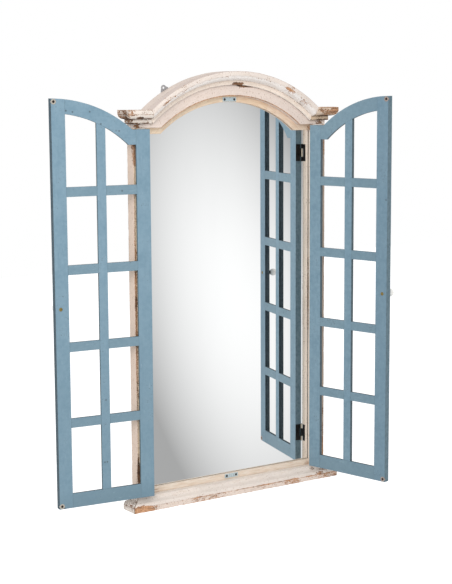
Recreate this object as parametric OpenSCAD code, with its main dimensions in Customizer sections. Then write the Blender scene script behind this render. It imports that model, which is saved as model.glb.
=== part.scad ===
// Arched window mirror with two hinged ten-light shutters.
// +Z is up, +X is the viewer's right, the wall is the plane y = 0 and the room is on the -Y side.
// The origin is on the wall, midway between the two hanging screws.

/* [Frame] */
// Clear width between the two stiles
opening_w = 470.4; // [466:0.2:480]
// Face width of each stile
stile_w = 33.8; // [28:0.2:45]
// Thickness of the frame, from its front to the wall
frame_depth = 28; // [24:0.5:36]
// Depth from the front of the frame to the face of the glass
recess_depth = 20; // [19:0.5:22]
// Height of the bottom rail's top above the foot of the shutters (below it, so negative)
ledge_level = -3.6; // [-8:0.2:-2]
// Height of the sill's underside above the foot of the shutters (below it, so negative)
sill_level = -33.4; // [-45:0.2:-25]
// Width and depth of the glass rebate behind the opening
rebate = 8; // [6:0.5:8]

/* [Arch] */
// Height of the arch's centre above the foot of the shutters
arch_h = 612; // [600:1:620]
// Height of the flat shoulders of the opening above the foot of the shutters
shoulder_h = 844.3; // [844:0.1:848]
// Radius of the arched opening
opening_r = 302; // [301.6:0.1:303]
// Radius of the crown's outer edge
crown_r = 358.5; // [356:0.5:362]
// Height of the crown and ear moulding
moulding_h = 31.5; // [28:0.5:34]
// How far the crown and ears stand out of the frame
moulding_out = 24; // [20:0.5:28]
// How far the sill stands out of the frame
sill_out = 24; // [20:0.5:28]

/* [Stops] */
// Visible width of the pine stop round the glass
stop_w = 14.3; // [12:0.1:18]
// Thickness of the pine stop
stop_t = 4.5; // [3:0.5:5]
// Where the arched stop's left and middle pieces meet, in degrees right of the top
stop_joint_left = 4.3; // [4:0.1:12]
// Where its middle and right pieces meet, in degrees right of the top
stop_joint_right = 21.5; // [18:0.5:40]

/* [Shutters] */
// Width of one shutter
shutter_w = 233.2; // [230:0.1:233.4]
// Thickness of the shutters
shutter_t = 15; // [12:0.5:15]
// Width of the stile on the hinge side
hinge_stile_w = 33.5; // [28:0.5:40]
// Width of the stile on the meeting side
meeting_stile_w = 32; // [28:0.5:40]
// Height of the bottom rail
foot_rail_h = 33.2; // [28:0.2:36]
// Width of the arched top rail
top_rail_w = 32; // [28:0.5:34]
// Height of the shutter's flat shoulder above its foot
shutter_shoulder_h = 842.3; // [838:0.1:842.6]
// Radius of the shutter's arched top edge
shutter_r = 300; // [298:0.1:300.4]
// Height of one light
light_h = 150.2; // [147:0.1:151]
// Height of a cross bar
bar_h = 21.5; // [18:0.5:24]
// Width of the upright mullion
mullion_w = 21.5; // [18:0.5:24]
// Distance of the mullion from the hinge edge
mullion_at = 107.4; // [102:0.1:112]
// Depth of a light's square edge at the inner face
square_edge = 5; // [4:0.5:7]
// Width of the bevel round each light on the outer face
bevel = 5.5; // [3:0.5:7]
// How far the left shutter stands open
left_open = 186; // [0:1:188]
// How far the right shutter stands open
right_open = 103.2; // [0:0.1:188]

/* [Hinges] */
// Height of a hinge
hinge_h = 41; // [34:1:50]
// Distance of the lower hinge's middle from the foot of the shutter
lower_hinge_h = 72.5; // [50:0.5:120]
// Distance of the upper hinge's middle from the foot of the shutter
upper_hinge_h = 774; // [700:0.5:790]
// Outer radius of the barrel
barrel_r = 2.3; // [2.2:0.1:2.5]
// Radius of the pin
pin_r = 1.2; // [1:0.05:1.3]
// Length of the middle knuckle
middle_knuckle = 20; // [12:0.5:22]
// Thickness of a leaf
leaf_t = 1; // [0.8:0.1:1]
// Width of the leaf on the frame
leaf_w = 10.4; // [8:0.1:11]
// Width of the leaf on the shutter
shutter_leaf_w = 13.2; // [8:0.1:13.2]

/* [Knobs] */
// Diameter of the knob's ball
knob_d = 18.5; // [12:0.5:20]
// Distance of the ball's middle from the shutter's face
knob_out = 15; // [14:0.5:18]
// Height of the knobs above the foot of the shutters
knob_h = 452; // [400:1:500]

/* [Catches] */
// Width of a strike plate
strike_w = 37.5; // [34:0.5:44]
// Height of a strike plate
strike_h = 10; // [8:0.5:12]
// Diameter of a magnet
magnet_d = 12; // [10:0.5:14]

/* [Hanging plates] */
// Distance of each hanging screw from the middle
hanger_x = 172; // [150:1:190]
// Radius of the hole for the wall screw
hanger_hole_r = 2.5; // [2:0.1:3]

/* [Hidden] */
$fn = 96;
tall = 1000;                                  // more than the height of any piece
fit = 0.6;                                    // gap between a shutter's hinge edge and the stile
screw_rise = 6;                               // wall screw above the crown's edge, along the radius
hang_h = arch_h + sqrt(pow(crown_r + screw_rise, 2) - pow(hanger_x, 2));
foot_z = -hang_h;                             // foot of the shutters
arch_z = foot_z + arch_h;
shoulder_z = foot_z + shoulder_h;
ledge_z = foot_z + ledge_level;
sill_z = foot_z + sill_level;
sill_h = ledge_z - sill_z;
half_open = opening_w / 2;
half_frame = half_open + stile_w;
front_y = -frame_depth;
glass_y = front_y + recess_depth;             // face of the glass
glass_t = 3;
board_t = 3;                                  // thickness of the hardboard back
point_t = 0.8;                                // thickness of a glazing point
point_w = 8;
point_l = 7;
groove_r = crown_r - moulding_h;              // foot of the crown moulding on the arch
ear_rise = 40.7;                              // ears above the opening's shoulders
ear_top_z = shoulder_z + ear_rise;
ear_foot_z = ear_top_z - moulding_h;
pin_x = half_open - fit / 2;                  // the right-hand pin
pin_y = front_y - barrel_r - 0.35;
inner_setback = 16.3;                         // pin to the shutter's inner face, when shut
bore_r = pin_r + 0.05;
knuckle_gap = 0.15;                           // half the gap between two knuckles
leaf_screw_rise = 13;                         // leaf screws above and below the hinge's middle
leaf_screw_r = 1.25;
leaf_head_r = 2;
pin_head_r = 2.1;
leaf_screw_l = 11;
edge_x = pin_x - fit / 2;                     // hinge edge of the right shutter, when shut
inner_y = pin_y + inner_setback;              // inner face of a shut shutter
outer_y = inner_y - shutter_t;
leaf_front = pin_y + 2.8;                     // front edge of a leaf's plate
inner_r = shutter_r - top_rail_w;
shoulder_rail = 33.8;                         // top rail's width at its level shoulder
inner_shoulder_z = foot_z + shutter_shoulder_h - shoulder_rail;
square_y = inner_y - square_edge;
splay = bevel / (square_y - outer_y);         // widening of a light per millimetre of depth
columns = [[hinge_stile_w, mullion_at], [mullion_at + mullion_w, shutter_w - meeting_stile_w]];
top_row = 4;                                  // rows of lights are numbered from the bottom, from 0
bar_levels = [for (k = [1 : 4]) foot_z + foot_rail_h + k * light_h + (k - 1) * bar_h];
magnet_x = 7.2;                               // magnet from the middle line, when shut
magnet_rise = 6.5;                            // magnet above the foot, and below the arch
magnet_levels = [arch_z + shutter_r - magnet_rise - 0.4, foot_z + magnet_rise];
magnet_t = 2.6;                               // depth of a magnet's pocket
magnet_bore_r = 3;
magnet_screw_r = 1.5;
magnet_screw_l = 7;
strike_levels = [arch_z + shutter_r - magnet_rise, foot_z + magnet_rise - 2];
strike_t = 1;
strike_screw_r = 1.15;
strike_head_r = 2.05;
hanger_t = 1.5;                               // thickness of a hanging plate
hanger_half_w = 11;
hanger_l = 26;                                // below the crown's edge, to its round end's middle
hanger_ear_r = 6.5;
hanger_turn = asin(hanger_x / (crown_r + screw_rise));
hanger_screws = [-10, -26];                   // plate screws from the crown's edge, along the radius
hanger_screw_r = 1.8;
hanger_screw_l = 14;
knob_x = edge_x - 220.5;
knob_z = foot_z + knob_h;
knob_flat = knob_d * 0.46;                    // from the ball's middle to its flat foot
knob_foot = knob_out - knob_flat;             // flat foot above the shutter's face
knob_bore_r = 1.6;
knob_head_r = 4.2;
knob_head_t = 0.8;
strike_screw_x = 13.4;
blue = [0.51, 0.63, 0.70];
cream = [0.90, 0.86, 0.81];
pine = [0.90, 0.78, 0.64];

// ---- shared forms ----------------------------------------------------------

// A flat shape drawn in x and z, given its thickness from y0 (front) to y1 (back).
module upright(y0, y1) {
    translate([0, y1, 0])
        rotate([90, 0, 0])
            linear_extrude(height = y1 - y0)
                children();
}

// A rod along y from y0 to y1.
module rod_y(x, z, r, y0, y1) {
    translate([x, y1, z])
        rotate([90, 0, 0])
            cylinder(r = r, h = y1 - y0);
}

// The outline of an arch with flat shoulders: straight sides, then part of a circle.
module arched(half_w, r, top_z, base_z) {
    translate([-half_w, base_z])
        square([2 * half_w, top_z - base_z]);
    intersection() {
        translate([0, arch_z])
            circle(r = r, $fn = 180);
        translate([-half_w, top_z - 1])
            square([2 * half_w, r]);
    }
}

// Both sides: the piece as drawn for the right, and its mirror image.
module both_sides() {
    children();
    mirror([1, 0, 0])
        children();
}

// Turns a piece of the shut right shutter to where the photographed one stands.
module on_right() {
    translate([pin_x, pin_y, 0])
        rotate([0, 0, right_open])
            translate([-pin_x, -pin_y, 0])
                children();
}

// The same for the left shutter, which is the right one's mirror image.
module on_left() {
    translate([-pin_x, pin_y, 0])
        rotate([0, 0, -left_open])
            translate([pin_x, -pin_y, 0])
                mirror([1, 0, 0])
                    children();
}

// Section of the crown and ears: how far it stands out, and the drop from its top edge.
function moulding_section(out) = concat(
    [[0, 0], [out, 0], [out, 10.5], [out - 1, 11]],
    [for (a = [0 : 15 : 90]) [8 + (out - 9) * cos(a), 11 + 10 * sin(a)]],
    [[6, 21.3], [6, moulding_h - 1], [5, moulding_h], [0, moulding_h]]
);

// Section of the sill: how far it stands out, and the height above its underside.
// A square fillet, a quarter round and a cove.
function sill_section(out) = concat(
    [[0, 0], [out, 0], [out, 11.8]],
    [for (a = [0 : 15 : 90]) [out - 9 + 8 * cos(a), 11.8 + 8 * sin(a)]],
    [for (a = [15 : 15 : 90]) [(out - 9) * (1 - 0.87 * sin(a)), 19.8 + (sill_h - 19.8) * (1 - cos(a))]],
    [[0, sill_h]]
);

// ---- frame -----------------------------------------------------------------

// One stile, standing beside the opening, rebated for the glass at the back.
module stile() {
    difference() {
        translate([half_open, front_y, sill_z])
            cube([stile_w, frame_depth, shoulder_z - sill_z]);
        translate([half_open - 1, glass_y, ledge_z - rebate])
            cube([rebate + 1, frame_depth, shoulder_z - ledge_z + rebate + 1]);
        for (level = [lower_hinge_h, upper_hinge_h])
            leaf_pocket(level, 1);
        leaf_pilots(1);
    }
}

module left_stile() {
    color(cream)
        mirror([1, 0, 0])
            stile();
}

module right_stile() {
    color(cream)
        stile();
}

// The board over the opening: ears at both ends, an arch above and below.
module head_board() {
    color(cream)
        difference() {
            upright(front_y, 0)
                difference() {
                    union() {
                        translate([-half_frame, shoulder_z])
                            square([2 * half_frame, ear_top_z - shoulder_z]);
                        intersection() {
                            translate([0, arch_z])
                                circle(r = crown_r, $fn = 180);
                            translate([-half_frame, shoulder_z])
                                square([2 * half_frame, crown_r]);
                        }
                    }
                    arched(half_open, opening_r, shoulder_z, shoulder_z - 10);
                }
            upright(glass_y, 1)
                arched(half_open + rebate, opening_r + rebate, shoulder_z + rebate, shoulder_z - 10);
            both_sides() {
                upright(-hanger_t, 1)
                    hanger_outline(0.1);
                hanger_rods(hanger_screw_r, -hanger_screw_l, 1);
            }
        }
}

module bottom_rail() {
    color(cream)
        difference() {
            translate([-half_open, front_y, sill_z])
                cube([opening_w, frame_depth, ledge_z - sill_z]);
            translate([-half_open - 1, glass_y, ledge_z - rebate])
                cube([opening_w + 2, frame_depth, rebate + 1]);
        }
}

// The wedge of space on the arch's side of both mitres, drawn in x and z.
module between_mitres() {
    foot_x = sqrt(pow(groove_r, 2) - pow(ear_foot_z - arch_z, 2));
    top_x = sqrt(pow(crown_r, 2) - pow(ear_top_z - arch_z, 2));
    slope = (top_x - foot_x) / (ear_top_z - ear_foot_z);
    drop = 60;
    rise = 130;
    low_x = foot_x - drop * slope;
    high_x = top_x + rise * slope;
    polygon([
        [-low_x, ear_foot_z - drop], [low_x, ear_foot_z - drop],
        [high_x, ear_top_z + rise], [-high_x, ear_top_z + rise]
    ]);
}

// The moulding bent round the arch, turned as one and cut at the two mitres.
module crown_moulding() {
    color(cream)
        intersection() {
            translate([0, front_y, arch_z])
                rotate([90, 0, 0])
                    rotate_extrude(angle = 180, $fn = 180)
                        polygon([for (p = moulding_section(moulding_out)) [crown_r - p[1], p[0]]]);
            upright(front_y - moulding_out - 1, front_y)
                between_mitres();
        }
}

// One ear: a front strip and a side return, mitred together round the corner.
module ear() {
    section = moulding_section(moulding_out);
    difference() {
        intersection() {
            translate([0, front_y, ear_top_z])
                rotate([90, 0, 90])
                    linear_extrude(height = half_frame + moulding_out)
                        polygon(concat(
                            [[frame_depth, 0]],
                            [for (p = section) [-p[0], -p[1]]],
                            [[frame_depth, -moulding_h]]
                        ));
            translate([half_frame, 0, ear_top_z])
                rotate([90, 0, 0])
                    linear_extrude(height = frame_depth + moulding_out)
                        polygon(concat(
                            [[-half_frame, 0]],
                            [for (p = section) [p[0], -p[1]]],
                            [[-half_frame, -moulding_h]]
                        ));
        }
        translate([-1, front_y, shoulder_z - 1])
            cube([half_frame + 1, frame_depth + 1, ear_rise + 2]);
        upright(front_y - moulding_out - 1, front_y + 1)
            between_mitres();
    }
}

module left_ear_moulding() {
    color(cream)
        mirror([1, 0, 0])
            ear();
}

module right_ear_moulding() {
    color(cream)
        ear();
}

// The sill's solid before it is cut into a front strip and two returns.
module sill_body() {
    section = sill_section(sill_out);
    intersection() {
        translate([-half_frame - sill_out, front_y, sill_z])
            rotate([90, 0, 90])
                linear_extrude(height = 2 * (half_frame + sill_out))
                    polygon(concat(
                        [[frame_depth, 0]],
                        [for (p = section) [-p[0], p[1]]],
                        [[frame_depth, sill_h]]
                    ));
        translate([0, 0, sill_z])
            rotate([90, 0, 0])
                linear_extrude(height = frame_depth + sill_out)
                    polygon(concat(
                        [for (p = section) [half_frame + p[0], p[1]]],
                        [for (i = [len(section) - 1 : -1 : 0])
                            [-half_frame - section[i][0], section[i][1]]]
                    ));
    }
}

// Everything in front of the sill's two mitres, drawn in plan.
module in_front_of_mitres() {
    reach = sill_out + 1;
    translate([0, 0, sill_z - 1])
        linear_extrude(height = sill_h + 2)
            polygon([
                [-half_frame, front_y], [half_frame, front_y],
                [half_frame + reach, front_y - reach], [-half_frame - reach, front_y - reach]
            ]);
}

module sill_moulding() {
    color(cream)
        intersection() {
            sill_body();
            in_front_of_mitres();
        }
}

module sill_returns() {
    color(cream)
        difference() {
            sill_body();
            in_front_of_mitres();
            translate([-half_frame, front_y - 1, sill_z - 1])
                cube([2 * half_frame, frame_depth + 2, sill_h + 2]);
        }
}

// ---- stops, glass and back ---------------------------------------------------

// The whole arched stop, before it is cut into its three pieces.
module arch_stop(from_deg, to_deg) {
    reach = 500;
    color(pine)
        upright(glass_y - stop_t, glass_y)
            intersection() {
                difference() {
                    arched(half_open, opening_r, shoulder_z, shoulder_z - stop_w);
                    arched(half_open + 1, opening_r - stop_w, shoulder_z - stop_w, shoulder_z - 40);
                }
                translate([0, arch_z])
                    polygon([
                        [0, 0],
                        reach * [sin(from_deg), cos(from_deg)],
                        reach * 1.6 * [sin((from_deg + to_deg) / 2), cos((from_deg + to_deg) / 2)],
                        reach * [sin(to_deg), cos(to_deg)]
                    ]);
            }
}

module arch_stop_left() {
    difference() {
        arch_stop(-75, stop_joint_left);
        strike_pilots(strike_levels[0]);
    }
}

module arch_stop_middle() {
    arch_stop(stop_joint_left, stop_joint_right);
}

module arch_stop_right() {
    arch_stop(stop_joint_right, 75);
}

module bottom_stop() {
    color(pine)
        difference() {
            translate([-half_open, glass_y - stop_t, ledge_z])
                cube([opening_w, stop_t, stop_w]);
            strike_pilots(strike_levels[1]);
        }
}

// The arched pane, which stands in the rebate.
module pane(y0, y1, gap) {
    upright(y0, y1)
        arched(half_open + rebate - gap, opening_r + rebate - gap,
               shoulder_z + rebate - gap, ledge_z - rebate + gap);
}

module mirror_glass() {
    color([0.80, 0.83, 0.85])
        pane(glass_y, glass_y + glass_t, 0.5);
}

module back_board() {
    color([0.62, 0.50, 0.38])
        pane(glass_y + glass_t, glass_y + glass_t + board_t, 0.5);
}

// Flat steel points that hold the back board in its rebate.
module glazing_points() {
    y0 = glass_y + glass_t + board_t;
    color([0.6, 0.6, 0.62]) {
        both_sides()
            for (z = [100, 300, 500, 700])
                translate([half_open + rebate - point_l, y0, foot_z + z - point_w / 2])
                    cube([point_l, point_t, point_w]);
        for (x = [-140, 0, 140])
            translate([x - point_w / 2, y0, ledge_z - rebate])
                cube([point_w, point_t, point_l]);
        for (a = [-25, 0, 25])
            translate([0, y0, arch_z])
                rotate([0, a, 0])
                    translate([-point_w / 2, 0, opening_r + rebate - point_l])
                        cube([point_w, point_t, point_l - 0.1]);
    }
}

// ---- hanging plates ----------------------------------------------------------

// Outline of the right-hand plate, with its ear past the crown's edge.
module hanger_outline(grow) {
    translate([0, arch_z])
        rotate([0, 0, -hanger_turn]) {
            translate([-hanger_half_w - grow, crown_r - hanger_l])
                square([2 * (hanger_half_w + grow), hanger_l + 1]);
            translate([0, crown_r + screw_rise])
                circle(r = hanger_ear_r + grow, $fn = 48);
            translate([0, crown_r - hanger_l])
                circle(r = hanger_half_w + grow, $fn = 48);
            polygon([
                [-hanger_half_w - grow, crown_r + 0.9], [hanger_half_w + grow, crown_r + 0.9],
                [hanger_ear_r - 0.1 + grow, crown_r + screw_rise + 1],
                [0.1 - hanger_ear_r - grow, crown_r + screw_rise + 1]
            ]);
        }
}

// A rod along y for each of a plate's two screws.
module hanger_rods(r, y0, y1) {
    for (d = hanger_screws)
        rod_y((crown_r + d) * sin(hanger_turn), arch_z + (crown_r + d) * cos(hanger_turn), r, y0, y1);
}

// One plate: two countersunk wood screws below, one plain hole for the wall screw above.
module hanging_plate() {
    color([0.35, 0.36, 0.38])
        difference() {
            upright(-hanger_t, 0)
                hanger_outline(0);
            rod_y(hanger_x, 0, hanger_hole_r, -hanger_t - 1, 1);
            hanger_rods(hanger_screw_r + 0.1, -hanger_t - 1, 1);
        }
}

module left_hanging_plate() {
    mirror([1, 0, 0])
        hanging_plate();
}

module right_hanging_plate() {
    hanging_plate();
}

// Flat-headed screws through the plates into the head board.
module hanging_plate_screws() {
    color([0.55, 0.55, 0.56])
        both_sides()
            hanger_rods(hanger_screw_r, -hanger_screw_l, 0);
}

// ---- catches -------------------------------------------------------------------

// Holes through the stop for the screws of the strike plate at height z.
module strike_pilots(z) {
    for (x = [-strike_screw_x, strike_screw_x])
        rod_y(x, z, strike_screw_r, glass_y - stop_t - 1, glass_y + 1);
}

// A steel strip on the stop, at height z, that both shutters' magnets meet.
module strike_plate(z) {
    color([0.74, 0.82, 0.85])
        difference() {
            upright(glass_y - stop_t - strike_t, glass_y - stop_t)
                translate([-strike_w / 2, z - strike_h / 2])
                    square([strike_w, strike_h]);
            for (x = [-strike_screw_x, strike_screw_x])
                rod_y(x, z, strike_head_r + 0.05, glass_y - stop_t - 2, glass_y);
        }
}

module top_strike_plate() {
    strike_plate(strike_levels[0]);
}

module bottom_strike_plate() {
    strike_plate(strike_levels[1]);
}

module strike_plate_screws() {
    color([0.12, 0.12, 0.13])
        for (z = strike_levels, x = [-strike_screw_x, strike_screw_x])
            translate([x, glass_y - stop_t - strike_t - 0.1, z])
                rotate([-90, 0, 0]) {
                    cylinder(r = strike_head_r, h = strike_t + 0.1, $fn = 24);
                    cylinder(r = strike_screw_r, h = 5, $fn = 24);
                }
}

// ---- hinges --------------------------------------------------------------------

function leaf_width(side) = side > 0 ? leaf_w : shutter_leaf_w;
function leaf_screw_y(side) = leaf_front + leaf_width(side) / 2 + 0.3;

// Bottom and top of a hinge's end knuckles or of its middle one, from the hinge's middle.
function knuckles(outer) = outer
    ? [[-hinge_h / 2, -middle_knuckle / 2], [middle_knuckle / 2, hinge_h / 2]]
    : [[-middle_knuckle / 2, middle_knuckle / 2]];

// One leaf of a shut right-hand hinge. Outer leaves carry the end knuckles, the others the middle
// one, and each plate is notched round the other's. side is 1 on the stile and -1 on the shutter.
module leaf(level, side, outer) {
    mid_z = foot_z + level;
    leaf_x = side > 0 ? half_open : edge_x - leaf_t;
    notch = 1.8;
    color([0.07, 0.07, 0.07])
        difference() {
            union() {
                translate([leaf_x, leaf_front, mid_z - hinge_h / 2])
                    cube([leaf_t, leaf_width(side), hinge_h]);
                for (k = knuckles(outer)) {
                    translate([pin_x, pin_y, mid_z + k[0] + knuckle_gap])
                        cylinder(r = barrel_r, h = k[1] - k[0] - 2 * knuckle_gap, $fn = 48);
                    translate([leaf_x, pin_y + 1.7, mid_z + k[0] + knuckle_gap])
                        cube([leaf_t, 2, k[1] - k[0] - 2 * knuckle_gap]);
                }
            }
            for (k = knuckles(!outer))
                translate([leaf_x - 1, leaf_front - 1, mid_z + k[0] - knuckle_gap])
                    cube([leaf_t + 2, notch + 1, k[1] - k[0] + 2 * knuckle_gap]);
            translate([pin_x, pin_y, mid_z - hinge_h])
                cylinder(r = bore_r, h = 2 * hinge_h, $fn = 48);
            for (s = [-1, 1])
                translate([leaf_x - 1, leaf_screw_y(side), mid_z + s * leaf_screw_rise])
                    rotate([0, 90, 0])
                        cylinder(r = leaf_screw_r + 0.05, h = leaf_t + 2, $fn = 24);
        }
}

// The pocket that lets a leaf in flush with the wood.
module leaf_pocket(level, side) {
    x0 = side > 0 ? half_open - 0.5 : edge_x - leaf_t;
    translate([x0, pin_y, foot_z + level - hinge_h / 2 - 0.1])
        cube([leaf_t + 0.5, leaf_front + leaf_width(side) - pin_y + 0.1, hinge_h + 0.2]);
}

// The hollow in the shutter's edge that the barrel turns in.
module barrel_hollow(level) {
    spare = 1.2;
    translate([pin_x, pin_y, foot_z + level - hinge_h / 2 - spare])
        cylinder(r = barrel_r + 0.3, h = hinge_h + 2 * spare, $fn = 48);
}

// Holes in the wood for the screws of both hinges' leaves on one side.
module leaf_pilots(side) {
    for (level = [lower_hinge_h, upper_hinge_h], s = [-1, 1])
        translate([
            side > 0 ? half_open : edge_x, leaf_screw_y(side),
            foot_z + level + s * leaf_screw_rise
        ])
            rotate([0, side * 90, 0])
                cylinder(r = leaf_screw_r, h = leaf_screw_l, $fn = 24);
}

// A riveted pin, headed at both ends of the barrel.
module hinge_pin(level) {
    half = hinge_h / 2;
    color([0.10, 0.10, 0.10])
        translate([pin_x, pin_y, foot_z + level]) {
            translate([0, 0, -half - 0.5])
                cylinder(r = pin_r, h = hinge_h + 1, $fn = 48);
            for (z = [-half - 0.75, half - 0.15])
                translate([0, 0, z])
                    cylinder(r = pin_head_r, h = 0.9, $fn = 48);
        }
}

// The screws of one leaf, driven into the stile (side 1) or the shutter (side -1).
module leaf_screws(level, side) {
    color([0.10, 0.10, 0.10])
        for (s = [-1, 1])
            translate([
                side > 0 ? half_open - 0.1 : edge_x + 0.1, leaf_screw_y(side),
                foot_z + level + s * leaf_screw_rise
            ])
                rotate([0, side * 90, 0]) {
                    cylinder(r = leaf_head_r, h = 0.1, $fn = 24);
                    cylinder(r = leaf_screw_r, h = leaf_screw_l, $fn = 24);
                }
}

module left_upper_frame_leaf() {
    mirror([1, 0, 0])
        leaf(upper_hinge_h, 1, true);
}

module left_lower_frame_leaf() {
    mirror([1, 0, 0])
        leaf(lower_hinge_h, 1, false);
}

module right_upper_frame_leaf() {
    leaf(upper_hinge_h, 1, true);
}

module right_lower_frame_leaf() {
    leaf(lower_hinge_h, 1, false);
}

module upper_hinge_pins() {
    both_sides()
        hinge_pin(upper_hinge_h);
}

module frame_leaf_screws() {
    both_sides()
        for (level = [lower_hinge_h, upper_hinge_h])
            leaf_screws(level, 1);
}

// ---- one shutter, drawn shut on the right ------------------------------------------

// The part of the shutter's board between two distances from its hinge edge.
module shutter_strip(u0, u1) {
    upright(outer_y, inner_y)
        intersection() {
            arched(half_open + 1, shutter_r, foot_z + shutter_shoulder_h, foot_z);
            translate([edge_x - u1, foot_z - 1])
                square([u1 - u0, tall]);
        }
}

// The space inside the shutter's rails, up to the arch of its top rail.
module between_rails() {
    upright(outer_y - 1, inner_y + 1)
        arched(half_open, inner_r, inner_shoulder_z, foot_z + foot_rail_h);
}

// Section of a light from a to b: square at the inner face, then bevelled to the outer face.
function light_section(a, b) = [
    [a, inner_y + 1], [b, inner_y + 1], [b, square_y],
    [b + bevel + splay, outer_y - 1], [a - bevel - splay, outer_y - 1], [a, square_y]
];

// The room of one row between two levels, running across the whole shutter.
module light_row(z0, z1) {
    rotate([90, 0, 90])
        linear_extrude(height = half_open)
            polygon([for (p = light_section(z0, z1)) [p[1], p[0]]]);
}

// The room of one column, running up the whole shutter.
module light_column(column) {
    translate([0, 0, foot_z])
        linear_extrude(height = tall)
            polygon(light_section(edge_x - columns[column][1], edge_x - columns[column][0]));
}

// Round room under the arch of the top rail, with the same bevel.
module light_arch() {
    translate([0, 0, arch_z])
        rotate([-90, 0, 0])
            rotate_extrude($fn = 180)
                polygon([
                    [0, outer_y - 1], [inner_r + bevel + splay, outer_y - 1],
                    [inner_r, square_y], [inner_r, inner_y + 1], [0, inner_y + 1]
                ]);
}

// One square light.
module light(column, row) {
    z0 = foot_z + foot_rail_h + row * (light_h + bar_h);
    intersection() {
        light_column(column);
        light_row(z0, z0 + light_h);
    }
}

// One arched light of the top row.
module top_light(column) {
    z0 = foot_z + foot_rail_h + top_row * (light_h + bar_h);
    intersection() {
        light_column(column);
        light_row(z0, z0 + 400);
        union() {
            light_row(foot_z, inner_shoulder_z);
            light_arch();
        }
    }
}

// All five lights of a column.
module column_of_lights(column) {
    for (row = [0 : top_row - 1])
        light(column, row);
    top_light(column);
}

module hinge_stile() {
    color(blue)
        difference() {
            shutter_strip(0, hinge_stile_w);
            column_of_lights(0);
            for (level = [lower_hinge_h, upper_hinge_h]) {
                leaf_pocket(level, -1);
                barrel_hollow(level);
            }
            leaf_pilots(-1);
        }
}

module meeting_stile() {
    color(blue)
        difference() {
            shutter_strip(shutter_w - meeting_stile_w, shutter_w);
            column_of_lights(1);
            magnet_pockets();
            rod_y(knob_x, knob_z, knob_bore_r, outer_y - 1, inner_y + 1);
        }
}

module top_rail() {
    color(blue)
        difference() {
            shutter_strip(hinge_stile_w, shutter_w - meeting_stile_w);
            between_rails();
            translate([0, outer_y - 1, foot_z - 1])
                cube([half_open, shutter_t + 2, foot_rail_h + 2]);
            for (column = [0, 1])
                top_light(column);
        }
}

module shutter_bottom_rail() {
    color(blue)
        difference() {
            translate([edge_x - shutter_w + meeting_stile_w, outer_y, foot_z])
                cube([shutter_w - hinge_stile_w - meeting_stile_w, shutter_t, foot_rail_h]);
            for (column = [0, 1])
                light(column, 0);
        }
}

module mullion() {
    color(blue)
        difference() {
            intersection() {
                shutter_strip(mullion_at, mullion_at + mullion_w);
                between_rails();
            }
            for (column = [0, 1])
                column_of_lights(column);
        }
}

// Four bars, each in two lengths that meet the mullion.
module cross_bars() {
    color(blue)
        difference() {
            for (z = bar_levels, c = columns)
                translate([edge_x - c[1], outer_y, z])
                    cube([c[1] - c[0], shutter_t, bar_h]);
            for (column = [0, 1])
                column_of_lights(column);
        }
}

// Room in the meeting stile for the magnets and their screws.
module magnet_pockets() {
    for (z = magnet_levels) {
        rod_y(magnet_x, z, magnet_d / 2, inner_y - magnet_t, inner_y + 1);
        rod_y(magnet_x, z, magnet_screw_r, inner_y - magnet_t - magnet_screw_l, inner_y);
    }
}

// Ring magnets let into the inner face.
module magnets() {
    color([0.75, 0.75, 0.74])
        difference() {
            for (z = magnet_levels)
                rod_y(magnet_x, z, magnet_d / 2 - 0.05, inner_y - magnet_t, inner_y + 0.3);
            for (z = magnet_levels)
                rod_y(magnet_x, z, magnet_bore_r, inner_y - magnet_t - 1, inner_y + 1);
        }
}

module magnet_screws() {
    color([0.12, 0.12, 0.13])
        for (z = magnet_levels) {
            rod_y(magnet_x, z, magnet_bore_r - 0.05, inner_y - magnet_t, inner_y + 0.1);
            rod_y(magnet_x, z, magnet_screw_r,
                  inner_y - magnet_t - magnet_screw_l, inner_y - magnet_t + 0.1);
        }
}

module knob_ball() {
    color([0.93, 0.91, 0.88])
        difference() {
            translate([knob_x, outer_y - knob_out, knob_z])
                rotate([90, 0, 0])
                    rotate_extrude($fn = 64)
                        intersection() {
                            circle(r = knob_d / 2, $fn = 64);
                            translate([0, -knob_flat])
                                square([knob_d, knob_d]);
                        }
            rod_y(knob_x, knob_z, knob_bore_r, outer_y - knob_out, outer_y);
        }
}

// The turned black collar between the ball and the wood.
module knob_ferrule() {
    color([0.10, 0.10, 0.10])
        difference() {
            translate([knob_x, outer_y, knob_z])
                rotate([90, 0, 0])
                    rotate_extrude($fn = 48)
                        polygon([
                            [0, 0], [6, 0], [6, 1.4], [4.2, 2.4], [3.8, 4.6],
                            [4.8, knob_foot], [0, knob_foot]
                        ]);
            rod_y(knob_x, knob_z, knob_bore_r, outer_y - knob_out, outer_y + 1);
        }
}

module knob_screw() {
    color([0.30, 0.30, 0.31])
        translate([knob_x, inner_y + knob_head_t, knob_z])
            rotate([90, 0, 0]) {
                cylinder(r = knob_head_r, h = knob_head_t, $fn = 32);
                cylinder(r = knob_bore_r - 0.05, h = shutter_t + knob_out - 1, $fn = 32);
            }
}

module upper_shutter_leaf() {
    leaf(upper_hinge_h, -1, false);
}

module lower_shutter_leaf() {
    leaf(lower_hinge_h, -1, true);
}

module lower_hinge_pin() {
    hinge_pin(lower_hinge_h);
}

module shutter_leaf_screws() {
    for (level = [lower_hinge_h, upper_hinge_h])
        leaf_screws(level, -1);
}

// ---- the assembly --------------------------------------------------------------------

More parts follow.
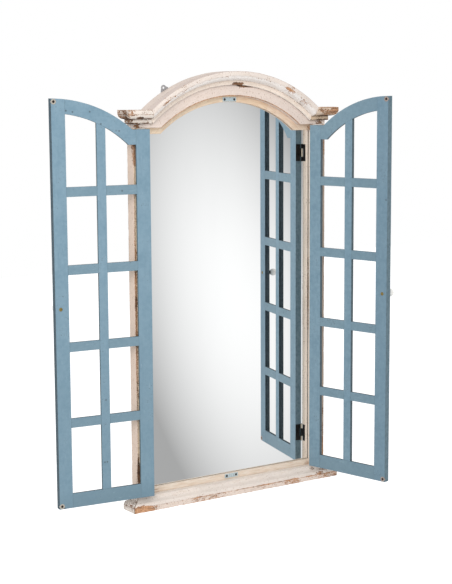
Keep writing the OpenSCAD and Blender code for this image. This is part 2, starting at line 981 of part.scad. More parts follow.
left_stile();
right_stile();
head_board();
bottom_rail();
crown_moulding();
left_ear_moulding();
right_ear_moulding();
sill_moulding();
sill_returns();
arch_stop_left();
arch_stop_middle();
arch_stop_right();
bottom_stop();
mirror_glass();
back_board();
glazing_points();
left_hanging_plate();
right_hanging_plate();
hanging_plate_screws();
top_strike_plate();
bottom_strike_plate();
strike_plate_screws();
left_upper_frame_leaf();
left_lower_frame_leaf();
right_upper_frame_leaf();
right_lower_frame_leaf();
upper_hinge_pins();
frame_leaf_screws();

on_left() hinge_stile();  // left_hinge_stile
on_left() meeting_stile();  // left_meeting_stile
on_left() top_rail();  // left_top_rail
on_left() shutter_bottom_rail();  // left_bottom_rail
on_left() mullion();  // left_mullion
on_left() cross_bars();  // left_cross_bars
on_left() magnets();  // left_magnets
on_left() magnet_screws();  // left_magnet_screws
on_left() knob_ball();  // left_knob_ball
on_left() knob_ferrule();  // left_knob_ferrule
on_left() knob_screw();  // left_knob_screw
on_left() upper_shutter_leaf();  // left_upper_shutter_leaf
on_left() lower_shutter_leaf();  // left_lower_shutter_leaf
on_left() lower_hinge_pin();  // left_lower_hinge_pin
on_left() shutter_leaf_screws();  // left_leaf_screws

on_right() hinge_stile();  // right_hinge_stile
on_right() meeting_stile();  // right_meeting_stile
on_right() top_rail();  // right_top_rail
on_right() shutter_bottom_rail();  // right_bottom_rail
on_right() mullion();  // right_mullion
on_right() cross_bars();  // right_cross_bars
on_right() magnets();  // right_magnets
on_right() magnet_screws();  // right_magnet_screws
on_right() knob_ball();  // right_knob_ball
on_right() knob_ferrule();  // right_knob_ferrule
on_right() knob_screw();  // right_knob_screw
on_right() upper_shutter_leaf();  // right_upper_shutter_leaf
on_right() lower_shutter_leaf();  // right_lower_shutter_leaf
on_right() lower_hinge_pin();  // right_lower_hinge_pin
on_right() shutter_leaf_screws();  // right_leaf_screws
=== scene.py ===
import math

import bmesh
import bpy
from mathutils import Matrix, Vector, noise


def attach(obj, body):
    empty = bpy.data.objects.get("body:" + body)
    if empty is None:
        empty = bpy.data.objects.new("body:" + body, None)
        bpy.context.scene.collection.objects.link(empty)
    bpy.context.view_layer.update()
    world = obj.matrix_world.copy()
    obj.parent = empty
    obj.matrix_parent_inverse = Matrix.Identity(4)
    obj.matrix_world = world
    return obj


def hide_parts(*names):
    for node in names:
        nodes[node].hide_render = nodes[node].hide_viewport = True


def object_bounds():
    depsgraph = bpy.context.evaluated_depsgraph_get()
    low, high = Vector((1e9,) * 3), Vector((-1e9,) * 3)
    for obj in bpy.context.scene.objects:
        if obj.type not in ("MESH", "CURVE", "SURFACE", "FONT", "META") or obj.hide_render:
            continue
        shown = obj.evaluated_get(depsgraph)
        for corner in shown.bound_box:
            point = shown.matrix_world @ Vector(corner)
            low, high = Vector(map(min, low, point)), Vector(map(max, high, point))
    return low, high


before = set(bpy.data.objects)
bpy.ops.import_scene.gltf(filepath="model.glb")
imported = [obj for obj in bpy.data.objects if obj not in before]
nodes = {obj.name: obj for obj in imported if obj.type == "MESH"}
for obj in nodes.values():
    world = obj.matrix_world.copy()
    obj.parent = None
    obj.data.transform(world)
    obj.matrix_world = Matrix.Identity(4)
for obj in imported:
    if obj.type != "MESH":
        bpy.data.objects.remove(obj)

cad_box = [list(corner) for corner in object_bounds()]

# ---- camera --------------------------------------------------------------------
# The picture was taken from the left of the mirror, level with its crown, with a
# long lens looking slightly down.

turn, drop, roll = 0.58904, 0.14077, 0.00571
stands_at = (-1.90117, -2.83965, 0.00129)
focal_length, picture_height = 1448.03, 584          # both in pixels
sensor = 36                                          # millimetres, along the picture's height

ahead = Vector((math.sin(turn) * math.cos(drop), math.cos(turn) * math.cos(drop), -math.sin(drop)))
aside = Vector((math.cos(turn), -math.sin(turn), 0))
below = ahead.cross(aside)
across = math.cos(roll) * aside + math.sin(roll) * below
down = -math.sin(roll) * aside + math.cos(roll) * below
lens = bpy.data.cameras.new("camera")
lens.sensor_width = sensor
lens.lens = focal_length / picture_height * sensor
lens.clip_start = 0.1
lens.clip_end = 50
camera = bpy.data.objects.new("camera", lens)
turned_to = Matrix((across, -down, -ahead)).transposed()
camera.matrix_world = Matrix.Translation(stands_at) @ turned_to.to_4x4()
bpy.context.scene.collection.objects.link(camera)
bpy.context.scene.camera = camera

# ---- stiles --------------------------------------------------------------------
# Two upright boards of fir, whitewashed over a brown stain and rubbed through at
# the arrises. The outer sides kept a smooth pinkish undercoat. The dark line where the glass
# meets each stile is painted shadow, the dark by the left stile's outer arris is stain and
# painted shadow, and the right stile's inner side is painted light.


def tone(red, green, blue):
    """A colour as it looks on a screen, made linear."""
    levels = [level / 255 for level in (red, green, blue)]
    linear = [level / 12.92 if level <= 0.04045 else ((level + 0.055) / 1.055) ** 2.4 for level in levels]
    return (*linear, 1.0)


def add_node(tree, kind, feeds, out=0, **settings):
    """One node in a tree, with its settings made and its sockets fed; hands back one of its outputs."""
    made = tree.nodes.new(kind)
    for name, value in settings.items():
        setattr(made, name, value)
    for socket, value in feeds.items():
        if isinstance(value, bpy.types.NodeSocket):
            tree.links.new(value, made.inputs[socket])
        elif value is not None:
            made.inputs[socket].default_value = value
    return made.outputs[out]


class Finish:
    """A finish in the making. Most calls add nodes and hand back what comes out of them."""

    def __init__(self, name):
        self.material = bpy.data.materials.new(name)
        self.material.use_nodes = True
        self.tree = self.material.node_tree
        self.shader = self.tree.nodes["Principled BSDF"]
        where = self.tree.nodes.new("ShaderNodeTexCoord")
        self.place = self.spot = where.outputs["Object"]
        self.facing = where.outputs["Normal"]

    def feed(self, socket, value):
        """Gives the shader what a node hands over, or a plain number."""
        if isinstance(value, bpy.types.NodeSocket):
            self.tree.links.new(value, self.shader.inputs[socket])
        else:
            self.shader.inputs[socket].default_value = value

    def node(self, kind, feeds, out=0, **settings):
        return add_node(self.tree, "ShaderNode" + kind, feeds, out, **settings)

    def calc(self, how, first, second=None):
        return self.node("Math", {0: first, 1: second}, operation=how)

    def plus(self, first, second):
        return self.calc("ADD", first, second)

    def minus(self, first, second):
        return self.calc("SUBTRACT", first, second)

    def times(self, first, second):
        return self.calc("MULTIPLY", first, second)

    def span(self, value, low, high, to_low=0.0, to_high=1.0):
        """A smooth step from to_low to to_high as the value goes from low to high."""
        return self.node("MapRange", {0: value, 1: low, 2: high, 3: to_low, 4: to_high},
                         interpolation_type="SMOOTHSTEP")

    def blend(self, share, first, second):
        return self.node("Mix", {0: share, 6: first, 7: second}, out=2, data_type="RGBA")

    def mapped(self, vector, scale, turn=(0, 0, 0), shift=(0, 0, 0)):
        return self.node("Mapping", {"Vector": vector, "Location": shift, "Rotation": turn, "Scale": scale})

    def noise(self, scale, detail=3.0, rough=0.55, bend=0.0,
              draw=(1, 1, 1), tilt=(0, 0, 0), shift=(0, 0, 0)):
        """Noise of so many clumps to the metre. A small number in draw draws it out that way."""
        spot = self.mapped(self.spot, draw, tilt, shift)
        return self.node("TexNoise", {"Vector": spot, "Scale": scale, "Detail": detail,
                                      "Roughness": rough, "Distortion": bend})

    def part_of(self, vector, axis):
        return self.node("SeparateXYZ", {0: vector}, out=axis)

    def arris(self, radius):
        """0 on a flat, rising to 0.3 on a square edge."""
        rounded = self.node("Bevel", {"Radius": radius}, samples=6)
        true = self.node("NewGeometry", {}, out="Normal")
        same = self.node("VectorMath", {0: rounded, 1: true}, out="Value", operation="DOT_PRODUCT")
        return self.minus(1.0, same)

    def hollow(self, distance):
        """1 in the open, less in a corner or a quirk."""
        return self.node("AmbientOcclusion", {"Distance": distance}, out="AO", samples=6, only_local=True)

    def near(self, centre, radius, along=(1, 1, 1), of=None):
        """1 about a place, falling to 0 at the radius. A small number in along makes it long that way."""
        core = 0.3
        spot = self.node("VectorMath", {0: of or self.place, 1: along}, operation="MULTIPLY")
        centre = [c * a for c, a in zip(centre, along)]
        far = self.node("VectorMath", {0: spot, 1: centre}, out="Value", operation="DISTANCE")
        return self.span(far, radius * core, radius, 1.0, 0.0)

    def round_arch(self, centre_z, radius):
        """Coordinates that follow an arch: along it, through the board, out from its centre."""
        x = self.part_of(self.place, 0)
        z = self.minus(self.part_of(self.place, 2), centre_z)
        reach = self.calc("SQRT", self.plus(self.times(x, x), self.times(z, z)))
        sweep = self.times(self.calc("ARCTAN2", x, z), radius)
        self.spot = self.node("CombineXYZ", {0: sweep, 1: self.part_of(self.place, 1), 2: reach})

    def relief(self, height, distance, strength):
        bump = self.node("Bump", {"Distance": distance, "Strength": strength, "Height": height})
        self.feed("Normal", bump)


def whitewash(name, along="x", arch=False, rub=0.2, worn=(), stained=(), lines=(), bands=(),
              coat=(240, 230, 221), sides=None, seed=0.0):
    """Thin chalky paint over stained wood, its grain along x, y or z, or round the arch.

    rub is how bare the arrises are. worn and stained list (place, radius, amount, along): where the
    paint is rubbed off, and where the wood under it is dark; a few of these are painted shadow. lines
    list (place across the piece, radius, amount, darkness), for wear that runs the whole length. bands
    list (axis, from, to, coat), for a strip of another tint; a few of these are painted light. coat is
    the paint itself, and sides the paint of the outer sides. The colour also darkens in the hollows, a
    painted shade with grime.
    """
    f = Finish(name)
    if arch:
        f.round_arch(arch_z, arch_r)

    def drawn(share):
        return tuple(share if axis == along else 1 for axis in "xyz")

    shift = (seed, seed * 0.7, seed * 1.3)
    grain = f.noise(240.0, 4.0, 0.6, 0.3, draw=drawn(0.14), shift=shift)
    cloud = f.noise(11.0, shift=shift)
    flake = f.noise(190.0, 4.0, 0.62, 0.6, draw=drawn(0.4), shift=shift)
    speck = f.noise(420.0, 3.0, 0.6, shift=shift)
    patch = f.noise(34.0, 3.0, 0.6, draw=drawn(0.4), shift=shift)
    pit = f.noise(300.0, 2.0, shift=shift)

    def clouded(tint):
        return f.blend(f.span(cloud, 0.35, 0.68), tone(*tint), tone(*[c * 0.965 for c in tint]))

    # the coat, with its bands, its thin places and its pits
    thin_tone, speck_tone, pit_tone = tone(216, 196, 176), tone(206, 184, 164), tone(158, 128, 104)
    band_fade, outermost = 0.0006, 0.25
    paint = clouded(coat)
    for axis, low, high, tint in bands:
        level = f.part_of(f.spot, axis)
        band = f.times(f.span(level, low - band_fade, low), f.span(level, high, high + band_fade, 1.0, 0.0))
        paint = f.blend(band, paint, clouded(tint))
    if sides:
        side = f.span(f.calc("ABSOLUTE", f.part_of(f.facing, 0)), 0.8, 0.95)
        outside = f.span(f.calc("ABSOLUTE", f.part_of(f.place, 0)), outermost, outermost + 0.01)
        paint = f.blend(f.times(side, outside), paint, tone(*sides))
    paint = f.blend(f.span(grain, 0.5, 0.75, 0.0, 0.4), paint, thin_tone)
    paint = f.blend(f.span(speck, 0.44, 0.6, 0.0, 0.22), paint, speck_tone)
    paint = f.blend(f.span(pit, 0.64, 0.70, 0.0, 0.7), paint, pit_tone)

    # where it is rubbed off, and how dark the wood is there
    amount = f.times(f.span(f.arris(0.004), 0.0, 0.14), rub)
    amount = f.times(amount, f.span(patch, 0.35, 0.6, 0.35, 1.5))
    amount = f.plus(amount, f.span(patch, 0.56, 0.75, 0.0, 0.12))
    dark = f.span(patch, 0.5, 0.62, 0.0, 0.6)
    for place, radius, share, long in worn:
        amount = f.plus(amount, f.times(f.near(place, radius, long), share))
    for place, radius, share, darkness in lines:
        line = f.near(place, radius, drawn(0), of=f.spot)
        amount = f.plus(amount, f.times(line, share))
        dark = f.plus(dark, f.times(line, darkness))
    for place, radius, share, long in stained:
        dark = f.plus(dark, f.times(f.near(place, radius, long), share))
    scatter = f.plus(f.times(flake, 0.45), f.times(speck, 0.55))
    bare = f.span(f.plus(amount, scatter), 0.70, 0.76)

    # the wood itself: light where it is fresh, brown where the stain stayed
    stain = f.blend(f.span(flake, 0.42, 0.6), tone(72, 48, 32), tone(122, 86, 60))
    wood = f.blend(f.span(speck, 0.4, 0.62), tone(216, 168, 130), tone(180, 130, 94))
    wood = f.blend(f.span(grain, 0.48, 0.66, 0.0, 0.8), wood, tone(108, 74, 52))
    wood = f.blend(f.calc("MINIMUM", dark, 1.0), wood, stain)
    # painted shade and grime: the colour darkens towards a brown wherever ambient occlusion finds a corner
    # or a quirk
    hollow_shade_and_grime = f.span(f.hollow(0.004), 0.2, 0.7, 0.35, 0.0)
    f.feed("Base Color", f.blend(hollow_shade_and_grime, f.blend(bare, paint, wood), tone(176, 146, 118)))
    f.feed("Roughness", f.span(bare, 0.0, 1.0, 0.7, 0.88))
    height = f.plus(f.minus(f.times(grain, 0.4), bare), f.times(speck, 0.25))
    f.relief(height, 0.0007, 0.6)
    return f.material


def eased(name, body, material, width=0.0007, dents=0.0, seed=0.0):
    """A copy of a solid whose arrises are rounded over and knocked about as handling wears them."""
    weld, flat, sharp, smooth = 0.00002, 0.01, 0.45, 0.42
    shortest, spacing = 0.0012, 0.009                # of the edges that are rounded, and of their dents
    made = bmesh.new()
    made.from_mesh(nodes[name].data)
    bmesh.ops.remove_doubles(made, verts=made.verts, dist=weld)
    bmesh.ops.dissolve_limit(made, angle_limit=flat, verts=made.verts, edges=made.edges)

    def arrises():
        outward = [edge for edge in made.edges if edge.is_manifold and edge.is_convex]
        long_ones = [edge for edge in outward if edge.calc_length() > shortest]
        return [edge for edge in long_ones if edge.calc_face_angle(0) > sharp]

    if dents:
        for edge in arrises():
            start, end = edge.verts
            for left in range(max(1, int(edge.calc_length() / spacing)), 1, -1):
                half, point = bmesh.utils.edge_split(edge, start, 1 / left)
                edge = edge if end in edge.verts else half
                start = point
    turned = bmesh.ops.bevel(made, geom=arrises(), offset=width, offset_type="OFFSET", segments=2,
                             profile=0.5, affect="EDGES", clamp_overlap=False)
    made.normal_update()
    shift = Vector((seed, seed * 2, 5))
    for corner in turned["verts"]:
        knock = noise.noise(corner.co * 75 + shift) + 0.6 * noise.noise(corner.co * 230 + shift)
        corner.co -= corner.normal * dents * max(0, knock * 1.6)
    mesh = bpy.data.meshes.new(name + "_eased")
    made.to_mesh(mesh)
    made.free()
    mesh.shade_smooth()
    mesh.set_sharp_from_angle(angle=smooth)
    mesh.materials.append(material)
    piece = bpy.data.objects.new(name + "_eased", mesh)
    bpy.context.scene.collection.objects.link(piece)
    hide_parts(name)
    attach(piece, body)
    return piece


front_y = -0.028                                     # the face of the boards
opening_x, edge_x = 0.2352, 0.269                    # a stile's inner and outer arris
upright = (1, 1, 0.02)
foot_mark = (1, 1, 0.12)                             # draws out the patch at the left stile's foot
for side, out in (("left", -1), ("right", 1)):
    worn = [
        ((out * edge_x, front_y, -0.5), 0.006, 0.16, upright),              # all up the outer arris
        ((out * 0.267, front_y, -0.14), 0.02, 0.24, (1, 1, 0.4)),
        ((out * 0.267, -0.026, -0.90), 0.02, 0.2, (1, 1, 0.4)),
    ]
    stained = [
        # a dark stain down the outer arris; on the left stile it is also painted shadow of the shutter
        # folded in front of it
        ((out * 0.267, front_y, -0.5), 0.012, 0.3, upright),
        # painted shadow: a thin dark line down the stile's inner side where the glass meets it
        ((out * opening_x, -0.0085, -0.5), 0.0016, 0.5, upright),
    ]
    if side == "left":
        # wear on the left stile's front by its outer arris, which with the stain also paints the shadow of
        # the folded shutter
        worn.append(((-0.262, front_y, -0.5), 0.012, 0.18, upright))
        worn.append(((-0.2675, front_y, -0.868), 0.0055, 0.26, foot_mark))
        stained.append(((-0.2675, front_y, -0.868), 0.008, 0.8, foot_mark))
        bands = [(0, -0.2700, -0.2570, (246, 220, 188))]
    else:
        worn.append(((0.266, front_y, -0.86), 0.03, 0.16, (1, 1, 0.3)))
        # the first band is painted light: the inner side by the glass is painted paler, as if more lit; the
        # second is a tan strip by the outer arris
        bands = [(0, 0.2346, 0.2356, (250, 234, 218)), (0, 0.2610, 0.2700, (204, 180, 160))]
    # painted shadow where the glass meets the stile, drawn as a dark rubbed-through line
    worn.append(((out * opening_x, -0.0078, -0.5), 0.0022, 0.4, upright))   # where the glass meets it
    wash = whitewash("whitewash_%s_stile" % side, "z", rub=0.14, worn=worn, stained=stained, bands=bands,
                     sides=(230, 209, 193), seed=1.0 + out)
    eased(side + "_stile", "frame", wash, 0.0007, 0.0006, out)

# ---- head board and bottom rail ------------------------------------------------
# The head is one wide board, sawn to the arch above and below, and the bottom rail
# closes the frame under the glass. Both are butted and glued to the stiles.

arch_z, arch_r = -0.321366, 0.34                     # the arch's centre, and about the middle of its board
even = (1, 1, 1)
top_patch = (0.024, front_y, 0.003)                  # a knock beside the middle of the arch
left_shoulder = (-0.252, front_y, -0.0845)           # what shows of the board under each ear
right_shoulder = (0.252, front_y, -0.0845)
head = whitewash(
    "whitewash_head_board", "x", arch=True, rub=0.08, coat=(237, 221, 211), seed=3.0,
    lines=[
        ((0, front_y, 0.302), 0.0028, 0.36, -0.6),                          # the arris of the opening
        ((0, front_y, 0.3264), 0.0022, 0.13, 0.7),                          # close under the cornice
    ],
    bands=[(2, 0.3560, 0.37, (221, 207, 198))],
    worn=[
        (top_patch, 0.018, 0.3, (0.7, 1, 3)),
        ((0.045, front_y, 0.0), 0.010, 0.2, (0.7, 1, 3)),
        (right_shoulder, 0.016, 0.25, (0.7, 0.5, 1.4)),
        (left_shoulder, 0.014, 0.16, (0.7, 0.5, 1.4)),
        ((-0.261, front_y, -0.0850), 0.010, 0.22, (0.8, 0.5, 1.2)),
    ],
    stained=[
        (top_patch, 0.03, 0.8, even),
        (right_shoulder, 0.03, 0.8, even),
        (left_shoulder, 0.03, 0.7, even),
    ],
)
eased("head_board", "frame", head, 0.0007, 0.0004, 3)
rail = whitewash("whitewash_bottom_rail", "x", rub=0.1, seed=4.0)
eased("bottom_rail", "frame", rail, 0.0007, 0.0004, 4)

# ---- crown and ears ------------------------------------------------------------
# The cornice was run in one section, bent round the arch, mitred to the two level
# ears and pinned on. It has lost the most paint on its top edge and at the ears.

nose_y = -0.052                                      # how far the cornice and the sill stand out
crown = whitewash(
    "whitewash_crown", "x", arch=True, rub=0.06, seed=5.0, coat=(244, 235, 228),
    lines=[
        ((0, nose_y, 0.348), 0.0045, 0.09, -0.6),
        ((0, -0.050, 0.343), 0.007, 0.08, -0.6),
        ((0, -0.036, 0.3372), 0.0022, 0.2, 0.5),
        ((0, -0.0285, 0.327), 0.0026, 0.23, 0.9),
    ],
    bands=[
        (2, 0.3280, 0.3368, (252, 237, 223)),
        (2, 0.3484, 0.3574, (243, 231, 222)),
        (2, 0.3578, 0.37, (209, 195, 188)),                                 # the edge that faces up
        (2, 0.3376, 0.3474, (252, 245, 240)),
    ],
    worn=[
        ((0.010, -0.034, 0.0076), 0.014, 0.36, (0.5, 0.6, 1.8)),
        ((-0.006, -0.031, 0.0036), 0.009, 0.3, (0.5, 0.6, 2.5)),
        ((-0.173, nose_y, -0.0096), 0.04, 0.06, even),
        ((-0.141, -0.048, 0.008), 0.02, 0.12, even),
        ((-0.2, nose_y, -0.029), 0.02, 0.1, even),
        ((0.150, nose_y, -0.0024), 0.022, 0.18, even),
        ((0.187, -0.045, -0.038), 0.015, 0.19, even),
    ],
    stained=[
        ((0.010, -0.034, 0.0076), 0.04, 0.8, even),
        ((0.187, -0.045, -0.038), 0.02, 0.6, even),
    ],
)
eased("crown_moulding", "frame", crown, 0.0004, 0.0005, 5)

seam = (0, 0, 1)                                     # draws a patch out into a level line
left_ear = whitewash(
    "whitewash_left_ear", "x", rub=0.14, seed=6.0, coat=(244, 234, 224),
    worn=[
        ((-0.295, -0.02, -0.06), 0.034, 0.23, (1, 0.5, 1)),
        ((-0.279, -0.010, -0.073), 0.020, 0.15, (1, 0.5, 1)),
        ((-0.276, nose_y, -0.055), 0.014, 0.07, (0.8, 1, 1)),
        ((-0.250, nose_y, -0.056), 0.012, 0.16, (0.6, 1, 1.6)),
        ((-0.259, -0.047, -0.066), 0.009, 0.28, (0.5, 1, 2)),
        ((-0.25, -0.034, -0.076), 0.03, 0.12, (0.7, 1, 1.6)),
        ((0, 0, -0.0690), 0.0022, 0.10, seam),
        ((0, 0, -0.0782), 0.0022, 0.12, seam),
    ],
    stained=[
        ((0, 0, -0.0690), 0.003, 0.6, seam),
        ((0, 0, -0.0782), 0.003, 0.7, seam),
        ((-0.279, -0.010, -0.073), 0.02, 0.4, (1, 0.5, 1)),
        ((-0.297, -0.02, -0.062), 0.022, 0.4, (1, 0.5, 1)),
        ((-0.259, -0.047, -0.066), 0.014, 0.8, even),
        ((-0.25, -0.03, -0.078), 0.014, 0.6, (0.4, 1, 1)),
    ],
)
eased("left_ear_moulding", "frame", left_ear, 0.0004, 0.0008, 6)
right_ear = whitewash(
    "whitewash_right_ear", "x", rub=0.1, seed=7.0, coat=(244, 222, 200),
    bands=[(2, -0.09, -0.0660, (226, 200, 170))],
    worn=[
        ((0.262, nose_y, -0.0535), 0.04, 0.24, (0.7, 1, 1.9)),
        ((0.256, -0.034, -0.073), 0.03, 0.15, even),
        ((0.291, -0.02, -0.06), 0.034, 0.16, (1, 0.5, 1)),
        ((0, 0, -0.0690), 0.0022, 0.15, seam),
        ((0, 0, -0.0780), 0.0022, 0.17, seam),
    ],
    stained=[
        ((0.25, -0.034, -0.077), 0.02, 0.7, (0.5, 1, 1)),
        ((0, 0, -0.0690), 0.003, 0.8, seam),
        ((0, 0, -0.0780), 0.003, 0.8, seam),
    ],
)
eased("right_ear_moulding", "frame", right_ear, 0.0004, 0.0007, 7)

# ---- sill ----------------------------------------------------------------------
# The same kind of moulding carried round the foot, with a mitred return at each side.
# Its lowest fillet takes the knocks and shows the brown stain.

sill = whitewash(
    "whitewash_sill", "x", rub=0.06, seed=8.0, coat=(240, 229, 220),
    lines=[((0, nose_y, -0.955), 0.0020, 0.07, -0.8), ((0, nose_y, -0.9615), 0.012, 0.12, -0.8)],
    # the second band is painted light: the sill's top, which faces up, is painted paler, as if more lit
    bands=[(2, -0.98, -0.9559, (240, 223, 211)), (2, -0.9378, -0.93, (250, 240, 232))],
    worn=[
        ((0.09, nose_y, -0.955), 0.0020, 0.09, (0.008, 1, 1)),
        ((-0.272, nose_y, -0.963), 0.034, 0.3, (0.7, 1, 1.6)),
        ((-0.09, nose_y, -0.962), 0.04, 0.08, (0.6, 1, 1)),
        ((0.153, nose_y, -0.9617), 0.026, 0.14, (0.7, 1, 1.3)),
        ((0.262, -0.05, -0.955), 0.05, 0.10, (0.8, 1, 1.1)),
        ((0.262, -0.036, -0.944), 0.022, 0.14, (0.6, 1, 1)),
        ((0.228, -0.034, -0.943), 0.007, 0.20, (0.6, 1, 1)),
        ((0.236, -0.050, -0.951), 0.010, 0.16, (0.5, 1, 2)),
        ((0.203, -0.044, -0.947), 0.004, 0.22, (0.7, 0.7, 1)),
        ((0.206, nose_y, -0.956), 0.007, 0.14, (0.5, 1, 2)),
    ],
    stained=[
        ((0.25, -0.04, -0.948), 0.06, 0.6, (0.8, 1, 1)),
        ((-0.275, nose_y, -0.963), 0.03, 0.2, even),
    ],
)
eased("sill_moulding", "frame", sill, 0.0004, 0.0006, 8)
ends = [(out * 0.286, -0.02, -0.948) for out in (-1, 1)]
returns = whitewash("whitewash_sill_returns", "y", rub=0.18, seed=9.0,
                    worn=[(end, 0.03, 0.20, (1, 0.3, 1)) for end in ends],
                    stained=[(end, 0.05, 0.9, (1, 0.3, 1)) for end in ends])
eased("sill_returns", "frame", returns, 0.0004, 0.0006, 9)

# ---- pine stops ----------------------------------------------------------------
# Thin strips of waxed pine hold the glass against the rebate, three bent round the
# arch and one straight along the foot. Their ends are stained brown.


def waxed_pine(name, arch, seed, pale, stains):
    """Pine in its own colour, darker in its figure and at its arrises. stains are as in whitewash."""
    f = Finish(name)
    if arch:
        f.round_arch(arch_z, arch_r)
    deeper = [level * share for level, share in zip(pale, (0.94, 0.9, 0.86))]
    figure = f.noise(320.0, 4.0, 0.6, 0.6, draw=(0.1, 1, 1), shift=(seed, 0, seed))
    fleck = f.noise(900.0, 2.0, draw=(0.06, 1, 1), shift=(0, seed, 0))
    colour = f.blend(f.span(figure, 0.35, 0.7), tone(*pale), tone(*deeper))
    colour = f.blend(f.span(fleck, 0.6, 0.75, 0.0, 0.35), colour, tone(190, 150, 112))
    for place, radius, share, long in stains:
        mark = f.plus(f.times(f.near(place, radius, long), share), f.times(figure, 0.5))
        colour = f.blend(f.span(mark, 0.5, 0.8, 0.0, 0.9), colour, tone(142, 96, 60))
    edge = f.span(f.plus(f.arris(0.0015), f.times(figure, 0.2)), 0.12, 0.3, 0.0, 0.7)
    f.feed("Base Color", f.blend(edge, colour, tone(158, 106, 64)))
    f.feed("Roughness", f.span(figure, 0.3, 0.8, 0.45, 0.62))
    f.relief(f.plus(figure, f.times(fleck, 0.4)), 0.0003, 0.5)
    return f.material


stop_y = -0.0125
arch_ends = [
    ((0.231, stop_y, -0.102), 0.012, 0.42, (1, 1, 0.6)),
    ((-0.229, stop_y, -0.100), 0.008, 0.34, (1, 1, 0.7)),
]
for length, seed, pale in (("left", 1.0, (244, 225, 200)), ("middle", 2.0, (241, 217, 190)),
                           ("right", 3.0, (240, 218, 196))):
    pine = waxed_pine("pine_arch_" + length, True, seed, pale, arch_ends)
    eased("arch_stop_" + length, "frame", pine, 0.0004)
foot_ends = [
    ((-0.216, stop_y, -0.934), 0.012, 0.36, (0.5, 1, 1)),
    ((0.229, stop_y, -0.933), 0.010, 0.36, (0.5, 1, 1)),
]
pine = waxed_pine("pine_foot", False, 4.0, (238, 225, 210), foot_ends)
eased("bottom_stop", "frame", pine, 0.0004)

# ---- mirror --------------------------------------------------------------------
# Three-millimetre glass, silvered on the back. Looking through the glass, the silver
# seems to lie two millimetres behind its front face, and the pane is drawn to there.

silvering = Finish("mirror_silver")
haze = silvering.noise(9.0, draw=(1, 1, 0.35))
ripple = silvering.noise(3.0, 1.0)
silver = silvering.blend(silvering.span(haze, 0.4, 0.8, 0.0, 0.5), tone(252, 253, 253), tone(249, 250, 250))
silvering.feed("Base Color", silver)
silvering.feed("Roughness", silvering.span(haze, 0.3, 0.9, 0.001, 0.003))
silvering.feed("Metallic", 1.0)
silvering.relief(ripple, 0.00001, 0.1)
pane = eased("mirror_glass", "frame", silvering.material, 0.0004)
pane.data.shade_flat()
front_half, silver_depth = -0.0065, 0.002
for corner in pane.data.vertices:
    if corner.co.y < front_half:
        corner.co.y += silver_depth

# ---- back board and glazing points ---------------------------------------------
# Hardboard behind the glass, held by small zinc-plated points pushed into the rebate.


def dress(material, *names):
    """Gives solids that show as they are a finish of their own."""
    for name in names:
        skin = nodes[name].data.materials
        skin.clear()
        skin.append(material)


hardboard = Finish("hardboard")
felt = hardboard.noise(260.0, 6.0, 0.75)
blot = hardboard.noise(8.0)
brown = hardboard.blend(hardboard.span(felt, 0.3, 0.7), tone(122, 88, 60), tone(150, 114, 80))
brown = hardboard.blend(hardboard.span(blot, 0.4, 0.75, 0.0, 0.4), brown, tone(104, 74, 50))
hardboard.feed("Base Color", brown)
hardboard.feed("Roughness", hardboard.span(felt, 0.3, 0.7, 0.7, 0.9))
hardboard.relief(felt, 0.0004, 0.6)
dress(hardboard.material, "back_board")


def metal(name, colour, dull, edge, rough, gleam, scale=120.0, rubbed=None):
    """rough and gleam are the shader's roughness and metallic. rubbed is (x, y, radius), an upright
    barrel painted pale and bright all round the pin: a painted highlight."""
    f = Finish(name)
    spots = f.noise(scale, 4.0, 0.65)
    base = f.blend(f.span(spots, 0.35, 0.7), tone(*colour), tone(*dull))
    base = f.blend(f.span(f.arris(0.0008), 0.02, 0.25, 0.0, 0.6), base, tone(*edge))
    # painted highlight: the barrel round the pin is blended to a pale bright colour
    if rubbed:
        x, y, radius = rubbed
        barrel = f.times(f.near((x, y, 0), radius, (1, 1, 0)), f.span(spots, 0.3, 0.5, 0.8, 1.0))
        base = f.blend(barrel, base, tone(240, 228, 206))
    f.feed("Base Color", base)
    f.feed("Roughness", f.span(spots, 0.3, 0.75, rough - 0.06, rough + 0.1))
    f.feed("Metallic", gleam)
    f.relief(spots, 0.0001, 0.4)
    return f.material


zinc = metal("zinc_plate", (186, 187, 190), (158, 160, 165), (206, 207, 209), rough=0.4, gleam=0.6)
dress(zinc, "glazing_points")

# ---- hanging plates ------------------------------------------------------------
# Two zinc plates let into the back of the head, each with an eye above the crown.
# Cross-head wood screws hold them, each head turned as the hand left it.


